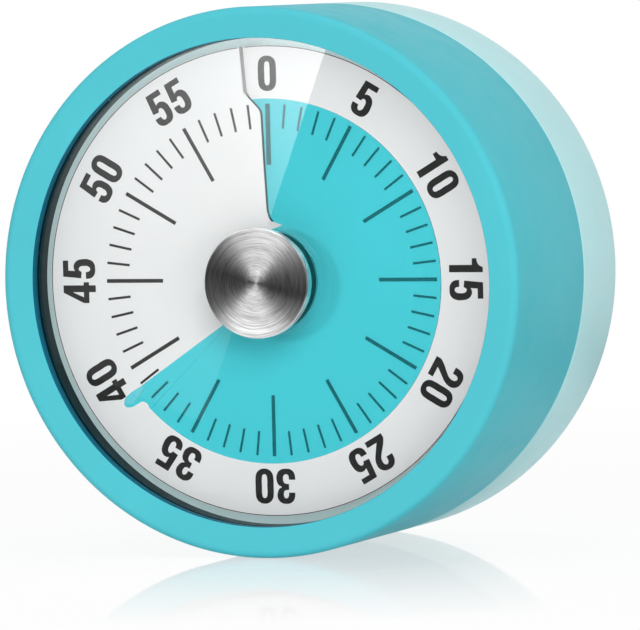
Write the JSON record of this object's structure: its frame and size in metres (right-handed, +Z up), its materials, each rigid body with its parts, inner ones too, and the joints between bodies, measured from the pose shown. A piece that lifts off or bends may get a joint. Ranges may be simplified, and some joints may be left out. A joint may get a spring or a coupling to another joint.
{
  "type": "mechanical kitchen timer",
  "caption": "Wind-up visual kitchen timer: turquoise drum case, white minute dial, translucent time disc through a dial slit, turned metal knob, bell movement inside.",
  "frame": {"origin": "lowest point of the rim that the drum stands on, midway between knob face and back", "axes": "+Z up towards twelve on the dial, -Y out of the dial, +X to the right of a person who faces the dial; the drum's axis is along Y"},
  "size_m": [0.08, 0.0462, 0.08],
  "materials": {
    "turquoise_shell": "smooth moulded turquoise plastic, satin gloss",
    "pale_shell": "pale turquoise moulded plastic, satin",
    "screw_steel": "zinc plated",
    "magnet": "sintered ferrite",
    "dark_ring": "dark petrol rubber, glossy",
    "clear_lens": "clear polished acrylic",
    "black_ring": "black gloss",
    "carrier_grey": "pale blue-grey plastic",
    "dial_white": "white sheet with printed ticks and numbers",
    "turquoise_film": "translucent turquoise film, glossy",
    "turned_metal": "turned face with fine circular brushing",
    "hub_black": "black plastic",
    "arbor_steel": "turned steel",
    "spring_steel": "blued spring steel",
    "wheel_brass": "stamped brass",
    "plate_steel": "stamped steel",
    "bell_nickel": "nickel plated steel"
  },
  "bodies": {
    "case": {"front_housing": "turquoise_shell", "back_cover": "pale_shell", "case_screws": "screw_steel", "back_magnet": "magnet", "lens_gasket": "dark_ring", "lens": "clear_lens", "dial_spacer": "black_ring", "dial_carrier": "carrier_grey", "dial": "dial_white", "front_plate": "plate_steel", "rear_plate": "plate_steel", "arbor_bushes": "wheel_brass", "plate_pillars": "arbor_steel", "plate_screws": "screw_steel", "movement_screws": "screw_steel", "bell": "bell_nickel", "bell_screw": "screw_steel", "spring_barrel": "plate_steel", "mainspring": "spring_steel"},
    "winder": {"knob_cap": "turned_metal", "knob_hub": "hub_black", "main_arbor": "arbor_steel", "arbor_clip": "spring_steel", "main_wheel": "wheel_brass", "wheel_collet": "wheel_brass", "clutch_spring": "spring_steel", "strike_cam": "wheel_brass"},
    "time_disc_body": {"time_disc": "turquoise_film", "pointer_grip": "turquoise_film"},
    "second_train": {"second_pinion": "arbor_steel", "second_wheel": "wheel_brass"},
    "third_train": {"third_pinion": "arbor_steel", "third_wheel": "wheel_brass"},
    "escape_train": {"escape_pinion": "arbor_steel", "escape_wheel": "wheel_brass"},
    "pallet": {"pallet_arbor": "arbor_steel", "pallet_anchor": "plate_steel", "inertia_bar": "wheel_brass"},
    "striker": {"hammer_arbor": "arbor_steel", "hammer_tail": "plate_steel", "hammer": "plate_steel", "hammer_spring": "spring_steel"}
  },
  "joints": [
    {"name": "winder_turn", "type": "hinge", "parent": "case", "child": "winder", "pos_m": [0, -0.02295, 0.04], "axis": [0, 1, 0], "range_deg": [-233.4, 126.6]},
    {"name": "disc_climb", "type": "slide", "parent": "winder", "child": "time_disc_body", "axis": [0, -1, 0], "range_m": [-0.00078, 0.00042]},
    {"name": "second_turn", "type": "hinge", "parent": "case", "child": "second_train", "pos_m": [-0.01237, -0.00595, 0.02763], "axis": [0, 1, 0], "range_deg": [-760.1, 1400.9]},
    {"name": "third_turn", "type": "hinge", "parent": "case", "child": "third_train", "pos_m": [0.0003, -0.00595, 0.02299], "axis": [0, 1, 0], "range_deg": [-7002.5, 3798.5]},
    {"name": "escape_turn", "type": "hinge", "parent": "case", "child": "escape_train", "pos_m": [0.01106, -0.00595, 0.02204], "axis": [0, 1, 0], "range_deg": [-18990.5, 35010.5]},
    {"name": "pallet_swing", "type": "hinge", "parent": "case", "child": "pallet", "pos_m": [0.01802, -0.00595, 0.02692], "axis": [0, 1, 0], "range_deg": [-4.5, 4.5]},
    {"name": "hammer_swing", "type": "hinge", "parent": "case", "child": "striker", "pos_m": [0, -0.00595, 0.06], "axis": [0, 1, 0], "range_deg": [-6, 18], "stiffness_Nm_per_rad": 0.002}
  ],
  "couplings": [
    {"joint": "disc_climb", "follows": "winder_turn", "m_per_rad": 0.00019099},
    {"joint": "second_turn", "follows": "winder_turn", "ratio": -6},
    {"joint": "third_turn", "follows": "winder_turn", "ratio": 30},
    {"joint": "escape_turn", "follows": "winder_turn", "ratio": -150}
  ]
}
